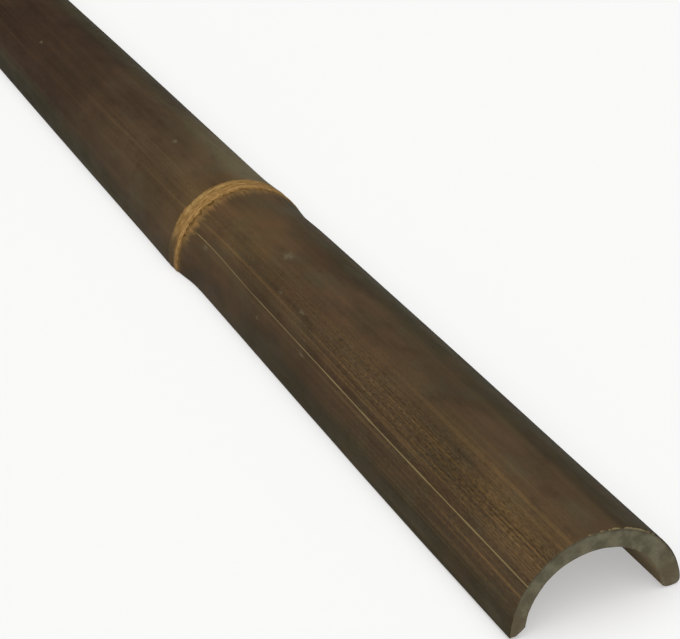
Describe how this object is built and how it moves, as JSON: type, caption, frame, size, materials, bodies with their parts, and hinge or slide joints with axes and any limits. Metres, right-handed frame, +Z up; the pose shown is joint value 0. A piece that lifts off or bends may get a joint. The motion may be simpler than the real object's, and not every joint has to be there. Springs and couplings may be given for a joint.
{
  "type": "half-round bamboo pole",
  "caption": "Dark half-round bamboo pole: one culm split lengthways, ringed at its nodes, hollow underneath, with a septum across the bore at each node.",
  "frame": {"origin": "middle of the bounding box's base, on the plane of the two split edges", "axes": "+X along the pole to the near cut end, which points towards the culm's tip; +Z up through the rounded skin side; +Y across, towards the thicker wall"},
  "size_m": [1.8312, 0.0866, 0.0432],
  "materials": {
    "bamboo_pole": "satin dark bamboo skin"
  },
  "bodies": {
    "root": {"bamboo_pole": "bamboo_pole"}
  },
  "joints": []
}
